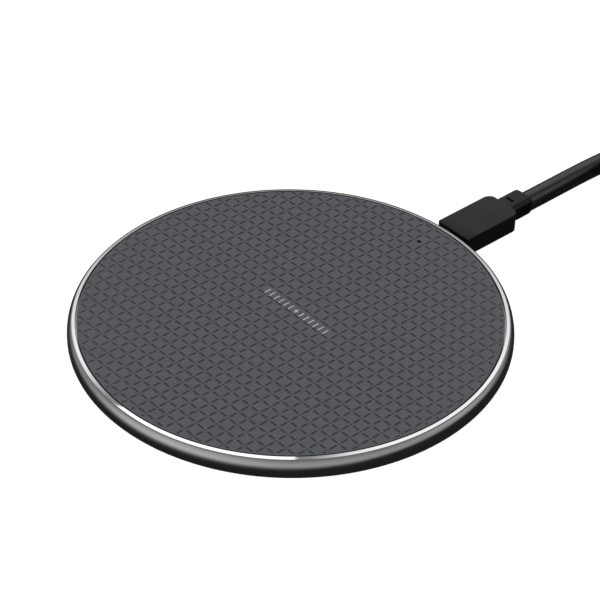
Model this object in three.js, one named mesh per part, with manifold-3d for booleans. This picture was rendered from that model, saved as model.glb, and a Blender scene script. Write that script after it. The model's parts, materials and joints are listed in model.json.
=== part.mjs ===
// A round wireless charging pad with its supply cable, in millimetres.
// +Z is up, the origin is the centre of the underside, and the cable's plug goes in at +Y.
import * as THREE from 'three';
import { mergeVertices } from 'three/addons/utils/BufferGeometryUtils.js';
import Module from 'manifold-3d';

const wasm = await Module();
wasm.setup();

// ---- driving dimensions -------------------------------------------------------------
const PAD_R = 50; // widest radius of the metal frame
const PAD_H = 6.5; // from the surface it stands on to the top cover
const ROUND = 64; // sides of the large round pieces
const SMALL_ROUND = 16; // sides of bosses, screws and holes
const TOUCH_GAP = 0.3; // left between a piece and the cut made for it

// metal frame
const BAND_IN_R = 48.08; // polished band round the top cover, inner edge
const BAND_OUT_R = 48.82;
const BAND_IN_Z = PAD_H + 0.04;
const BAND_OUT_Z = PAD_H - 0.16;
const SIDE_TOP_Z = 3.4; // the side is upright between these heights
const SIDE_LOW_Z = 3.1;
const UNDERCUT_R = 46; // radius that the side curves in to, at the underside
const UNDERCUT_Z = 0.5;
const FRAME_LOW_Z = 0.8;
const FRAME_WALL_R = 47.2; // inner wall under the ledge
const LEDGE_R = 46.4;
const LEDGE_Z = [4.7, 5.3];

// top cover
const SKIN_R = 47.72;
const SKIN_T = 0.3;
const PLATE_R = 47.7;
const PLATE_LOW_Z = LEDGE_Z[1];
const WINDOW = { x: -1.7, y: 40.7, r: 0.5, sunk: 0.6 }; // pinhole for the status light

// base cover
const BASE_R = 46.9;
const BASE_FLOOR_Z = [0.5, 1.5];
const BASE_WALL_R = 45.9;
const BASE_WALL_TOP_Z = 2.5;
const FOOT_R = [38.15, 43.85];
const FOOT_TOP_Z = 0.8;
const PLATFORM_R = [9, 24.5]; // raised ring that carries the ferrite
const PLATFORM_Z = 2.9;

// screws that join the base cover to the top plate
const SCREW_AT_R = 41;
const SCREW_AT_DEG = [20, 160, 235, 305];
const SCREW = { headR: 1.8, headZ: 0.9, seatZ: 1.6, shankR: 0.95, tipZ: 4.6 };
const BOSS = { r: 3.2, topZ: 2.4, boreR: 1.1, sinkR: 2.1 };
const POST = { r: 2.4, boreR: 1.05, boreTopZ: 4.9 };

// coil stack
const FERRITE = { r: 24, z: [3.1, 3.9] };
const TAPE = { r: [9.5, 23.5], z: [PLATFORM_Z, 3.1] };
const COIL = { r: [10.2, 21.8], z: [3.9, 5.1] };
const LEAD_R = 0.3;
const LEAD_SLOT = { x: [-4.5, -1.0], y: 5 }; // slot in the ferrite, open at its rim

// circuit board
const BOARD = { r: 45.3, chordY: 27.5, z: [1.8, 2.6] };
const PEG_AT = [[-27, 33], [27, 33]];
const PEG = { r: 0.8, boreR: 1.1, topZ: 3.2, bossR: 2 };

// small USB plug and its receptacle
const USB_Z = 3.825; // centre height of the connector
const USB_OUT = { w: 7.5, h: 2.45, corner: 0.95 }; // receptacle shell
const USB_IN = { w: 6.85, h: 1.8, corner: 0.75 }; // plug shell
const USB_WALL = 0.25;
const SOCKET_Y = [43.2, 48.9];
const PLUG_TIP_Y = 44.6;
const NOTCH = { w: 8.2, h: 3.1 }; // opening in the frame

// moulded body of the plug
const GRIP = { w: 10.1, h: 4.87, z: 3.935, y: [50.1, 67.0], rearR: 2.2, edge: 0.2, chamfer: 0.8 };
const RELIEF = { w: 6.1, z: [0.8, 6.35], corners: [2.7, 1.35], y: [67.0, 73.8], endEdge: 0.9 };
const RELIEF_SLOT = { x: [-1.3, 0.9], y: [68.6, 69.25], depth: 0.6 };

// cable and the coil that it is put away in
const CORD_D = 4.9;
const CORD_SIDES = 10;
const COIL_AT = { x: 29.9, y: 120 };
const COIL_MEAN_R = 25;
const COIL_WIDE = 3; // turns side by side
const COIL_HIGH = 2; // layers
const TIE = { t: 0.8, width: 8, in: [16.9, 32.65], top: 10.8 };

// USB-A plug on the cable's far end, lying on its flat side
const FAR = { x: 69.2, z: 3.8 };
const FAR_GRIP = { w: 15.5, h: 7.6, y: [88, 109], edge: 0.8, corner: 2 };
const FAR_SHELL = { w: 12, h: 4.5, y: [76, 92], wall: 0.3 };
const FAR_TONGUE = { w: 11.1, z: [3.95, 5.65], y: [76.6, 91.4] };
const FAR_RELIEF = { r: [3.7, 3.0], y: [109, 117] };

// ---- route of the cable where it isn't coiled ---------------------------------------
const RUN_ROUTE = [
  [0, 74.1, 3.3], [0, 80, 3.3], [0, 86, 3.35], [0, 92, 3.35], [0, 97, 3.25],
  [0, 100, 3.1], [0, 102.5, 2.9],
];
const TAIL_ROUTE = [
  [7.4, 146.7, 4.3], [12.1, 150.8, 3.3], [20.6, 154.6, 2.6], [29.9, 155.9, 2.45],
  [39.2, 154.8, 2.45], [48.4, 151.9, 2.5], [56.8, 146.9, 2.75], [63.6, 139.6, 3.15],
  [67.9, 130.4, 3.6], [69.2, 120, 3.8], [69.2, 117.3, 3.8],
];

// ---- helpers ------------------------------------------------------------------------
const point2 = (x, y) => new THREE.Vector2(x, y);

// A closed geometry as a solid that can be joined and cut.
function solid(geometry) {
  const bare = geometry.clone();
  bare.deleteAttribute('normal');
  bare.deleteAttribute('uv');
  const merged = mergeVertices(bare, 1e-4);
  const index = merged.index.array;
  const corners = merged.attributes.position.array;
  const kept = [];
  for (let i = 0; i < index.length; i += 3) {
    const [a, b, c] = [index[i], index[i + 1], index[i + 2]];
    if (a !== b && b !== c && c !== a) kept.push(a, b, c);
  }
  if (volumeOf(corners, kept) < 0) kept.reverse();
  return new wasm.Manifold(new wasm.Mesh({
    numProp: 3,
    vertProperties: new Float32Array(corners),
    triVerts: new Uint32Array(kept),
  }));
}

function volumeOf(corners, index) {
  const at = (i) => new THREE.Vector3().fromArray(corners, 3 * i);
  let sum = 0;
  for (let i = 0; i < index.length; i += 3) {
    sum += at(index[i]).dot(at(index[i + 1]).cross(at(index[i + 2])));
  }
  return sum / 6;
}

function geometryOf(body) {
  const mesh = body.getMesh();
  const geometry = new THREE.BufferGeometry();
  geometry.setAttribute('position', new THREE.BufferAttribute(mesh.vertProperties, 3));
  geometry.setIndex(new THREE.BufferAttribute(mesh.triVerts, 1));
  geometry.computeVertexNormals();
  return geometry;
}

// A profile of [radius, height] turned round the Z axis.
function turned(profile, sides = ROUND) {
  const points = profile.map(([r, z]) => point2(r, z));
  const closes = profile[0][0] > 0 || profile.at(-1)[0] > 0;
  if (closes) points.push(points[0].clone());
  return solid(new THREE.LatheGeometry(points, sides).rotateX(Math.PI / 2));
}

// A ring of rectangular section.
const ring = (rIn, rOut, z0, z1, sides = ROUND) =>
  turned([[rIn, z0], [rOut, z0], [rOut, z1], [rIn, z1]], sides);

// A round bar along Z.
const rod = (x, y, r, z0, z1, sides = SMALL_ROUND) =>
  turned([[0, z0], [r, z0], [r, z1], [0, z1]], sides).translate([x, y, 0]);

// A box given by its lowest and highest corners.
function block([x0, y0, z0], [x1, y1, z1]) {
  const box = new THREE.BoxGeometry(x1 - x0, y1 - y0, z1 - z0);
  return solid(box.translate((x0 + x1) / 2, (y0 + y1) / 2, (z0 + z1) / 2));
}

// A rectangle with round corners: [radius at -y, radius at +y].
function roundedShape(w, h, [low, high]) {
  const [x, y] = [w / 2, h / 2];
  const shape = new THREE.Shape();
  shape.moveTo(low - x, -y);
  shape.lineTo(x - low, -y);
  shape.absarc(x - low, low - y, low, -Math.PI / 2, 0);
  shape.lineTo(x, y - high);
  shape.absarc(x - high, y - high, high, 0, Math.PI / 2);
  shape.lineTo(high - x, y);
  shape.absarc(high - x, y - high, high, Math.PI / 2, Math.PI);
  shape.lineTo(-x, low - y);
  shape.absarc(low - x, low - y, low, Math.PI, 1.5 * Math.PI);
  return shape;
}

// The small connector's outline: a rectangle with its two lower corners cut off.
function connectorShape(w, h, corner) {
  const [x, y] = [w / 2, h / 2];
  return new THREE.Shape([
    point2(-x, y), point2(-x, corner - y), point2(corner - x, -y),
    point2(x - corner, -y), point2(x, corner - y), point2(x, y),
  ]);
}

// A shape in the XZ plane, extruded along Y between y0 and y1, at height z.
function alongY(shape, y0, y1, z = 0, curveSegments = 6) {
  const geometry = new THREE.ExtrudeGeometry(shape, {
    depth: y1 - y0, bevelEnabled: false, curveSegments,
  });
  return solid(geometry.rotateX(Math.PI / 2).translate(0, y1, z));
}

// A shape in the XY plane, extruded along Z, with its edges bevelled inside its size.
function alongZ(shape, z0, z1, edge = 0, curveSegments = 8) {
  const geometry = new THREE.ExtrudeGeometry(shape, {
    depth: z1 - z0 - 2 * edge, bevelEnabled: edge > 0, bevelThickness: edge,
    bevelSize: edge, bevelOffset: -edge, bevelSegments: 2, curveSegments,
  });
  return solid(geometry.translate(0, 0, z0 + edge));
}

function connectorTube({ w, h, corner }, y0, y1) {
  const inner = connectorShape(w - 2 * USB_WALL, h - 2 * USB_WALL, corner - 0.15);
  return alongY(connectorShape(w, h, corner), y0, y1, USB_Z)
    .subtract(alongY(inner, y0 - 1, y1 + 1, USB_Z));
}

// A round cord along a route.
function tube(route, diameter, sides, steps) {
  const curve = new THREE.CatmullRomCurve3(
    route.map((p) => new THREE.Vector3(...p)), false, 'centripetal');
  const section = new THREE.Shape();
  section.absarc(0, 0, diameter / 2, 0, 2 * Math.PI);
  return solid(new THREE.ExtrudeGeometry(section, {
    extrudePath: curve, steps, curveSegments: sides / 2, bevelEnabled: false,
  }));
}

const screwPlaces = SCREW_AT_DEG.map((deg) => {
  const a = THREE.MathUtils.degToRad(deg);
  return [SCREW_AT_R * Math.cos(a), SCREW_AT_R * Math.sin(a)];
});

// ---- materials ----------------------------------------------------------------------
const material = (color, roughness, metalness) =>
  new THREE.MeshStandardMaterial({ color, roughness, metalness });
const looks = {
  skin: material(0x58595d, 0.7, 0),
  shellPlastic: material(0x1b1b1d, 0.5, 0),
  gunmetal: material(0x77787c, 0.3, 1),
  rubber: material(0x1a1a1b, 0.8, 0),
  steel: material(0xb8b8ba, 0.3, 1),
  copper: material(0xb4643a, 0.4, 1),
  ferrite: material(0x2e2e30, 0.6, 0),
  tape: material(0xd8d4c4, 0.6, 0),
  board: material(0x1d5a36, 0.5, 0),
  chip: material(0x1c1c1e, 0.5, 0),
  ceramic: material(0xa88d6c, 0.5, 0),
  tin: material(0xc9c9c6, 0.35, 1),
  clear: material(0xe8ecee, 0.15, 0),
  cord: material(0x161617, 0.45, 0),
  contactPlastic: material(0x0f0f10, 0.5, 0),
};

const pad = new THREE.Group();
function add(name, body, look) {
  const mesh = new THREE.Mesh(geometryOf(body), look.clone());
  mesh.name = name;
  pad.add(mesh);
}

// ---- metal frame --------------------------------------------------------------------
function frameProfile() {
  const profile = [[BAND_IN_R, BAND_IN_Z], [BAND_IN_R, LEDGE_Z[1]], [LEDGE_R, LEDGE_Z[1]],
    [LEDGE_R, LEDGE_Z[0]], [FRAME_WALL_R, LEDGE_Z[0]], [FRAME_WALL_R, FRAME_LOW_Z]];
  const [a, b] = [PAD_R - UNDERCUT_R, SIDE_LOW_Z - UNDERCUT_Z];
  const lowest = Math.asin((SIDE_LOW_Z - FRAME_LOW_Z) / b);
  const steps = 5;
  for (let i = 0; i <= steps; i += 1) {
    const t = lowest * (1 - i / steps);
    profile.push([UNDERCUT_R + a * Math.cos(t), SIDE_LOW_Z - b * Math.sin(t)]);
  }
  for (let i = 0; i <= steps; i += 1) {
    const t = (i / steps) * Math.PI / 2;
    profile.push([
      BAND_OUT_R + (PAD_R - BAND_OUT_R) * Math.cos(t),
      SIDE_TOP_Z + (BAND_OUT_Z - SIDE_TOP_Z) * Math.sin(t),
    ]);
  }
  return profile;
}

function frameRing() {
  const notch = alongY(roundedShape(NOTCH.w, NOTCH.h, [0.6, 0.6]), 45, 52, USB_Z, 3);
  return turned(frameProfile()).subtract(notch);
}

// ---- top cover ----------------------------------------------------------------------
function topSkin() {
  return turned([[0, PAD_H - SKIN_T], [SKIN_R, PAD_H - SKIN_T], [SKIN_R, PAD_H], [0, PAD_H]])
    .subtract(rod(WINDOW.x, WINDOW.y, WINDOW.r + 0.1, 5, 7));
}

function topPlate() {
  const top = PAD_H - SKIN_T;
  let plate = turned([[0, PLATE_LOW_Z], [PLATE_R, PLATE_LOW_Z], [PLATE_R, top], [0, top]]);
  for (const [x, y] of screwPlaces) {
    plate = plate.add(rod(x, y, POST.r, BOSS.topZ, PLATE_LOW_Z + 0.2))
      .subtract(rod(x, y, POST.boreR, BOSS.topZ - 1, POST.boreTopZ));
  }
  return plate.subtract(rod(WINDOW.x, WINDOW.y, WINDOW.r + 0.1, 5, 7));
}

function lightPipe() {
  const flangeZ = [4.5, 5.2];
  return rod(WINDOW.x, WINDOW.y, WINDOW.r, 3.3, PAD_H - WINDOW.sunk)
    .add(rod(WINDOW.x, WINDOW.y, 1.3, ...flangeZ));
}

// ---- base cover, its feet and screws ------------------------------------------------
function baseCover() {
  const [low, floor] = BASE_FLOOR_Z;
  const groove = [FOOT_R[0] - 0.15, FOOT_R[1] + 0.15];
  let base = turned([
    [0, low], [groove[0], low], [groove[0], FOOT_TOP_Z], [groove[1], FOOT_TOP_Z],
    [groove[1], low], [UNDERCUT_R, low], [BASE_R, FRAME_LOW_Z], [BASE_R, BASE_WALL_TOP_Z],
    [BASE_WALL_R, BASE_WALL_TOP_Z], [BASE_WALL_R, floor], [0, floor],
  ]);
  base = base.add(ring(...PLATFORM_R, floor - 0.1, PLATFORM_Z));
  for (const [x, y] of screwPlaces) {
    base = base.add(rod(x, y, BOSS.r, floor - 0.1, BOSS.topZ))
      .subtract(rod(x, y, BOSS.sinkR, 0, SCREW.seatZ))
      .subtract(rod(x, y, BOSS.boreR, 0, BOSS.topZ + 1));
  }
  for (const [x, y] of PEG_AT) {
    base = base.add(rod(x, y, PEG.bossR, floor - 0.1, BOARD.z[0]))
      .add(rod(x, y, PEG.r, floor, PEG.topZ, 12));
  }
  return base;
}

function coverScrew([x, y]) {
  const slot = block([x - 1.2, y - 0.2, 0], [x + 1.2, y + 0.2, SCREW.headZ + 0.4]);
  const crossSlot = block([x - 0.2, y - 1.2, 0], [x + 0.2, y + 1.2, SCREW.headZ + 0.4]);
  return rod(x, y, SCREW.headR, SCREW.headZ, SCREW.seatZ, 16)
    .add(rod(x, y, SCREW.shankR, SCREW.seatZ - 0.2, SCREW.tipZ, 16))
    .subtract(slot)
    .subtract(crossSlot);
}

// ---- coil stack ---------------------------------------------------------------------
function ferriteDisc() {
  const [z0, z1] = FERRITE.z;
  return rod(0, 0, FERRITE.r, z0, z1, 48)
    .subtract(block([LEAD_SLOT.x[0], LEAD_SLOT.y, z0 - 1], [LEAD_SLOT.x[1], 30, z1 + 1]));
}

// The winding, with a groove between each turn and the next on its upper face.
function transmitCoil() {
  const [r0, r1] = COIL.r;
  const turns = 4;
  const pitch = (r1 - r0) / turns;
  const profile = [[r0, COIL.z[0]], [r1, COIL.z[0]]];
  for (let i = turns; i > 0; i -= 1) {
    profile.push([r0 + i * pitch, COIL.z[1] - 0.25], [r0 + (i - 0.5) * pitch, COIL.z[1]]);
  }
  profile.push([r0, COIL.z[1] - 0.25]);
  return turned(profile, 48);
}

const LEADS = {
  coil_lead_inner: [[-3.6, 8.6, 4.4], [-3.6, 9.0, 3.8], [-3.6, 10.0, 3.5], [-3.6, 17, 3.5],
    [-3.6, 24, 3.5], [-3.8, 27, 3.2], [-4, 29.5, 3.0]],
  coil_lead_outer: [[3.5, 22.1, 4.5], [3.6, 23.5, 4.4], [3.8, 26, 3.6], [4, 29.5, 3.0]],
  thermistor_lead: [[-1.4, 0, 4.3], [-1.7, 2, 4.3], [-1.8, 6, 4.3], [-1.9, 8.6, 3.7],
    [-1.9, 10, 3.5], [-1.9, 17, 3.5], [-1.9, 24, 3.5], [-1.7, 27, 3.2], [-1.6, 29.5, 3.0]],
};

// ---- circuit board and what is on it ------------------------------------------------
function circuitBoard() {
  const [z0, z1] = BOARD.z;
  const half = Math.acos(BOARD.chordY / BOARD.r);
  const outline = new THREE.Shape();
  outline.absarc(0, 0, BOARD.r, Math.PI / 2 - half, Math.PI / 2 + half);
  let board = alongZ(outline, z0, z1, 0, 32);
  for (const [x, y] of PEG_AT) {
    board = board.subtract(rod(x, y, PEG.boreR, z0 - 1, z1 + 1, 12));
  }
  return board;
}

// [name, centre x, centre y, size x, size y, height, look]
const BOARD_PARTS = [
  ['controller_chip', -12, 33.5, 5, 5, 0.9, looks.chip],
  ['driver_chip', 11, 34, 4, 4, 0.9, looks.chip],
  ['mosfet_pair_1', 17.5, 36, 3, 3, 0.9, looks.chip],
  ['mosfet_pair_2', 17.5, 32, 3, 3, 0.9, looks.chip],
  ['buck_inductor', -19, 33.5, 4, 4, 2.1, looks.chip],
  ['regulator_chip', -18, 38, 2.9, 1.6, 1.1, looks.chip],
  ['clock_crystal', -12, 38.5, 3.2, 2.5, 0.7, looks.tin],
  ['resonant_capacitor_1', 8.5, 29.6, 3.2, 2.5, 1.6, looks.ceramic],
  ['resonant_capacitor_2', 12.5, 29.6, 3.2, 2.5, 1.6, looks.ceramic],
  ['resonant_capacitor_3', 16.5, 29.2, 3.2, 2.5, 1.6, looks.ceramic],
  ['resonant_capacitor_4', 20.5, 29.2, 3.2, 2.5, 1.6, looks.ceramic],
  ['input_capacitor_1', 6.5, 38.2, 3.2, 1.6, 1.6, looks.ceramic],
  ['input_capacitor_2', 6.5, 40.8, 3.2, 1.6, 1.6, looks.ceramic],
  ['status_led', WINDOW.x, WINDOW.y, 1.6, 0.8, 0.6, looks.clear],
];

function receptacleTongue() {
  const inner = connectorShape(
    USB_OUT.w - 2 * USB_WALL - 0.1, USB_OUT.h - 2 * USB_WALL - 0.1, USB_OUT.corner - 0.15);
  const tongueZ = USB_Z + 0.25;
  return alongY(inner, SOCKET_Y[0] + 0.1, PLUG_TIP_Y - 0.3, USB_Z)
    .add(block([-1.85, SOCKET_Y[0] + 0.5, tongueZ - 0.3], [1.85, 48.3, tongueZ + 0.3]));
}

// ---- cable --------------------------------------------------------------------------
const plugShell = () => connectorTube(USB_IN, PLUG_TIP_Y, GRIP.y[0] + 3);

function plugInsulator() {
  const [w, h] = [USB_IN.w - 2 * USB_WALL - 0.1, USB_IN.h - 2 * USB_WALL - 0.1];
  const full = alongY(connectorShape(w, h, USB_IN.corner - 0.15), PLUG_TIP_Y + 0.4,
    GRIP.y[0] + 2.8, USB_Z);
  const mouth = block([-5, 40, USB_Z - 0.15], [5, GRIP.y[0] - 0.6, USB_Z + 2]);
  return full.subtract(mouth);
}

function plugGrip() {
  const [y0, y1] = GRIP.y;
  const [z0, z1] = [GRIP.z - GRIP.h / 2, GRIP.z + GRIP.h / 2];
  const body = alongZ(roundedShape(GRIP.w, y1 - y0, [0.4, GRIP.rearR]), z0, z1, GRIP.edge, 5)
    .translate([0, (y0 + y1) / 2, 0]);
  const pocket = alongY(connectorShape(USB_IN.w + 0.1, USB_IN.h + 0.1, USB_IN.corner),
    y0 - 1, y0 + 3.1, USB_Z);
  const out = (2 * Math.SQRT2 - GRIP.chamfer) / 2; // from the lower rear edge to the cutter's middle
  const chamfer = solid(new THREE.BoxGeometry(20, 4, 4).rotateX(Math.PI / 4)
    .translate(0, y1 + out, z0 - out));
  return body.subtract(pocket).subtract(chamfer);
}

// A sleeve that is flat on top and round underneath, with a slot across its top.
function strainRelief() {
  const [y0, y1] = RELIEF.y;
  const [z0, z1] = RELIEF.z;
  const geometry = new THREE.ExtrudeGeometry(roundedShape(RELIEF.w, z1 - z0, RELIEF.corners), {
    depth: y1 - y0 - RELIEF.endEdge, bevelEnabled: true, bevelThickness: RELIEF.endEdge,
    bevelSize: RELIEF.endEdge, bevelOffset: -RELIEF.endEdge, bevelSegments: 3, curveSegments: 6,
  });
  geometry.rotateX(Math.PI / 2).translate(0, y1 - RELIEF.endEdge, (z0 + z1) / 2);
  const front = block([-10, y0 - 5, -5], [10, y0, 15]);
  const slot = block([RELIEF_SLOT.x[0], RELIEF_SLOT.y[0], z1 - RELIEF_SLOT.depth],
    [RELIEF_SLOT.x[1], RELIEF_SLOT.y[1], z1 + 1]);
  return solid(geometry).subtract(front).subtract(slot);
}

// The space that the coiled turns fill, flattened underneath where the tie passes.
function cordCoil() {
  const halfWide = (COIL_WIDE * CORD_D) / 2;
  const [r0, r1] = [COIL_MEAN_R - halfWide, COIL_MEAN_R + halfWide];
  const high = COIL_HIGH * CORD_D;
  const c = 1.2;
  const around = turned([
    [r0 + c, 0], [r1 - c, 0], [r1, c], [r1, high - c], [r1 - c, high], [r0 + c, high],
    [r0, high - c], [r0, c],
  ], 48);
  const half = TIE.width / 2 + TOUCH_GAP * 2;
  const underTie = block([0, -half, -1], [r1 + 1, half, TIE.t + TOUCH_GAP]);
  return around.subtract(underTie).translate([COIL_AT.x, COIL_AT.y, 0]);
}

function cordTie() {
  const [w, h] = [TIE.in[1] - TIE.in[0] + 2 * TIE.t, TIE.top + TIE.t];
  const outer = roundedShape(w, h, [1.6, 1.6]);
  outer.holes.push(roundedShape(w - 2 * TIE.t, h - 2 * TIE.t, [0.8, 0.8]));
  return alongY(outer, -TIE.width / 2, TIE.width / 2, h / 2, 4)
    .translate([COIL_AT.x + (TIE.in[0] + TIE.in[1]) / 2, COIL_AT.y, 0]);
}

function farGrip() {
  const [y0, y1] = FAR_GRIP.y;
  const { corner, edge, w, h } = FAR_GRIP;
  const pocket = alongY(roundedShape(FAR_SHELL.w + 0.2, FAR_SHELL.h + 0.2, [0.4, 0.4]),
    y0 - 1, FAR_SHELL.y[1] + 0.1, FAR.z, 2).translate([FAR.x, 0, 0]);
  return alongZ(roundedShape(w, y1 - y0, [corner, corner]), FAR.z - h / 2, FAR.z + h / 2, edge, 5)
    .translate([FAR.x, (y0 + y1) / 2, 0])
    .subtract(pocket);
}

function farShell() {
  const { w, h, y, wall } = FAR_SHELL;
  const inner = roundedShape(w - 2 * wall, h - 2 * wall, [0.1, 0.1]);
  const upper = [0.4, 0.4];
  let shell = alongY(roundedShape(w, h, upper), ...y, FAR.z, 2)
    .subtract(alongY(inner, y[0] - 1, y[1] + 1, FAR.z, 1));
  for (const side of [-1, 1]) {
    const x = side * 2.9;
    shell = shell.subtract(block([x - 1.2, 80, 0], [x + 1.2, 82.4, 10]));
  }
  return shell.translate([FAR.x, 0, 0]);
}

function farTongue() {
  const { w, z, y } = FAR_TONGUE;
  return block([FAR.x - w / 2, y[0], z[0]], [FAR.x + w / 2, y[1], z[1]]);
}

function farRelief() {
  const [near, far] = FAR_RELIEF.r;
  const long = FAR_RELIEF.y[1] - FAR_RELIEF.y[0];
  return turned([[0, 0], [near, 0], [far, long - 0.6], [far - 0.6, long], [0, long]], 20)
    .rotate([-90, 0, 0])
    .translate([FAR.x, FAR_RELIEF.y[0], FAR.z]);
}

// ---- the whole object ---------------------------------------------------------------
add('frame_ring', frameRing(), looks.gunmetal);
add('top_skin', topSkin(), looks.skin);
add('top_plate', topPlate(), looks.shellPlastic);
add('light_pipe', lightPipe(), looks.clear);
add('base_cover', baseCover(), looks.shellPlastic);
add('foot_ring', ring(...FOOT_R, 0, FOOT_TOP_Z), looks.rubber);
screwPlaces.forEach((place, i) => add(`cover_screw_${i + 1}`, coverScrew(place), looks.steel));

add('ferrite_tape', ring(...TAPE.r, ...TAPE.z, 48), looks.tape);
add('ferrite_disc', ferriteDisc(), looks.ferrite);
add('transmit_coil', transmitCoil(), looks.copper);
add('thermistor', rod(0, 0, 1, 3.9, 4.9, 12), looks.chip);
for (const [name, route] of Object.entries(LEADS)) {
  add(name, tube(route, 2 * LEAD_R, 6, 20), looks.copper);
}

add('circuit_board', circuitBoard(), looks.board);
const boardTop = BOARD.z[1];
for (const [name, x, y, w, d, h, look] of BOARD_PARTS) {
  const low = [x - w / 2, y - d / 2, boardTop];
  add(name, block(low, [x + w / 2, y + d / 2, boardTop + h]), look);
}
add('receptacle_shell', connectorTube(USB_OUT, ...SOCKET_Y), looks.steel);
add('receptacle_tongue', receptacleTongue(), looks.contactPlastic);

add('plug_shell', plugShell(), looks.steel);
add('plug_insulator', plugInsulator(), looks.contactPlastic);
add('plug_grip', plugGrip(), looks.cord);
add('strain_relief', strainRelief(), looks.cord);
add('cord_run', tube(RUN_ROUTE, CORD_D, CORD_SIDES, 6), looks.cord);
add('cord_coil', cordCoil(), looks.cord);
add('cord_tail', tube(TAIL_ROUTE, CORD_D, CORD_SIDES, 20), looks.cord);
add('cord_tie', cordTie(), looks.cord);
add('far_relief', farRelief(), looks.cord);
add('far_grip', farGrip(), looks.cord);
add('far_shell', farShell(), looks.steel);
add('far_tongue', farTongue(), looks.contactPlastic);

export default pad;
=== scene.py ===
"""Finish of a round wireless charging pad and its supply cable, which leaves at +Y.

Blender's units are metres, with +Z up. Sizes here are in millimetres where nothing else is said.
"""
import json
import math

import bmesh
import bpy
from mathutils import Matrix, Vector, geometry


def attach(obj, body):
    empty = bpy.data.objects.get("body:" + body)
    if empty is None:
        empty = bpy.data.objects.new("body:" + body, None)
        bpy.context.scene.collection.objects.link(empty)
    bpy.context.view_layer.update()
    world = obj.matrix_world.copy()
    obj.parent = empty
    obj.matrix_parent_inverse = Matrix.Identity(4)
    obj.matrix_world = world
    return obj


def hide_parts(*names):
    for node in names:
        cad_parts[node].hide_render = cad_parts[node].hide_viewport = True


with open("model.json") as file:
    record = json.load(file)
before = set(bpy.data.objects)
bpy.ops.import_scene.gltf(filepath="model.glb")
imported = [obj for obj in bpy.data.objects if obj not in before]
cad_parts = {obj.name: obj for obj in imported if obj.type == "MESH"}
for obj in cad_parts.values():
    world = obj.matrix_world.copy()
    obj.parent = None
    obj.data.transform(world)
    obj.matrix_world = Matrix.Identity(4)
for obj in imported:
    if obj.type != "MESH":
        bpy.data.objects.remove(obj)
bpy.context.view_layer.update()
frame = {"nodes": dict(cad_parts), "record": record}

MM = 0.001

# ---- camera -------------------------------------------------------------------------
CAMERA_AZIMUTH = 48.774      # degrees that it is turned from looking along +Y towards -X
CAMERA_ELEVATION = 37.595    # degrees that it looks down
CAMERA_ROLL = 0.636
CAMERA_AT = Vector((0.32785, -0.28461, 0.34488))    # metres
LENS = 147.974
SENSOR = 36.0
CLIP_START = 0.01            # metres


def make_camera():
    a, e, r = (math.radians(x) for x in (CAMERA_AZIMUTH, CAMERA_ELEVATION, CAMERA_ROLL))
    forward = Vector((-math.sin(a) * math.cos(e), math.cos(a) * math.cos(e), -math.sin(e)))
    level = Vector((math.cos(a), math.sin(a), 0.0))
    right = level * math.cos(r) + level.cross(forward) * math.sin(r)
    up = right.cross(forward)
    data = bpy.data.cameras.new("camera")
    data.lens = LENS
    data.sensor_width = SENSOR
    data.clip_start = CLIP_START
    camera = bpy.data.objects.new("camera", data)
    camera.matrix_world = Matrix((
        (right.x, up.x, -forward.x, CAMERA_AT.x),
        (right.y, up.y, -forward.y, CAMERA_AT.y),
        (right.z, up.z, -forward.z, CAMERA_AT.z),
        (0.0, 0.0, 0.0, 1.0),
    ))
    bpy.context.scene.collection.objects.link(camera)
    bpy.context.scene.camera = camera


make_camera()


# ---- objects from points ------------------------------------------------------------
def link(name, data):
    obj = bpy.data.objects.new(name, data)
    bpy.context.scene.collection.objects.link(obj)
    return obj


def finish_shading(mesh, angle=30.0):
    """Smooth faces, with edges sharper than angle left crisp."""
    bm = bmesh.new()
    bm.from_mesh(mesh)
    bmesh.ops.recalc_face_normals(bm, faces=bm.faces)
    for face in bm.faces:
        face.smooth = True
    for edge in bm.edges:
        if len(edge.link_faces) == 2 and edge.calc_face_angle() > math.radians(angle):
            edge.smooth = False
    bm.to_mesh(mesh)
    bm.free()


def mesh_piece(name, points_mm, faces, angle=30.0):
    mesh = bpy.data.meshes.new(name)
    mesh.from_pydata([Vector(p) * MM for p in points_mm], [], faces)
    finish_shading(mesh, angle)
    return link(name, mesh)


def lofted(name, sections, angle=30.0, loops=False):
    """A skin over sections, each a ring of the same number of points.

    Its two ends are closed, or with loops its last section joins its first.
    """
    n, rows = len(sections[0]), len(sections)
    points = [p for section in sections for p in section]
    faces = []
    for i in range(rows if loops else rows - 1):
        j = (i + 1) % rows
        for k in range(n):
            m = (k + 1) % n
            faces.append((i * n + k, i * n + m, j * n + m, j * n + k))
    if not loops:
        faces.append(tuple(range(n)))
        faces.append(tuple((rows - 1) * n + k for k in range(n)))
    return mesh_piece(name, points, faces, angle)


def turned(name, profile, sides, angle=30.0):
    """A closed profile of (radius, height) turned round Z."""
    sections = []
    for i in range(sides):
        t = 2 * math.pi * i / sides
        sections.append([(r * math.cos(t), r * math.sin(t), z) for r, z in profile])
    return lofted(name, sections, angle, loops=True)


def rounded_rectangle(half_w, half_h, radius, per_corner=6):
    """Points round a rectangle with round corners, counter-clockwise from the right."""
    points = []
    for cx, cy, start in ((1, 1, 0), (-1, 1, 90), (-1, -1, 180), (1, -1, 270)):
        for i in range(per_corner + 1):
            t = math.radians(start + 90 * i / per_corner)
            points.append((
                cx * (half_w - radius) + radius * math.cos(t),
                cy * (half_h - radius) + radius * math.sin(t),
            ))
    return points


def apply_modifiers(obj):
    """Gives the object a mesh of its shape with its modifiers, and removes them."""
    bpy.context.view_layer.update()
    shaped = obj.evaluated_get(bpy.context.evaluated_depsgraph_get())
    mesh = bpy.data.meshes.new_from_object(shaped)
    obj.modifiers.clear()
    old = obj.data
    obj.data = mesh
    bpy.data.meshes.remove(old)


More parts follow.
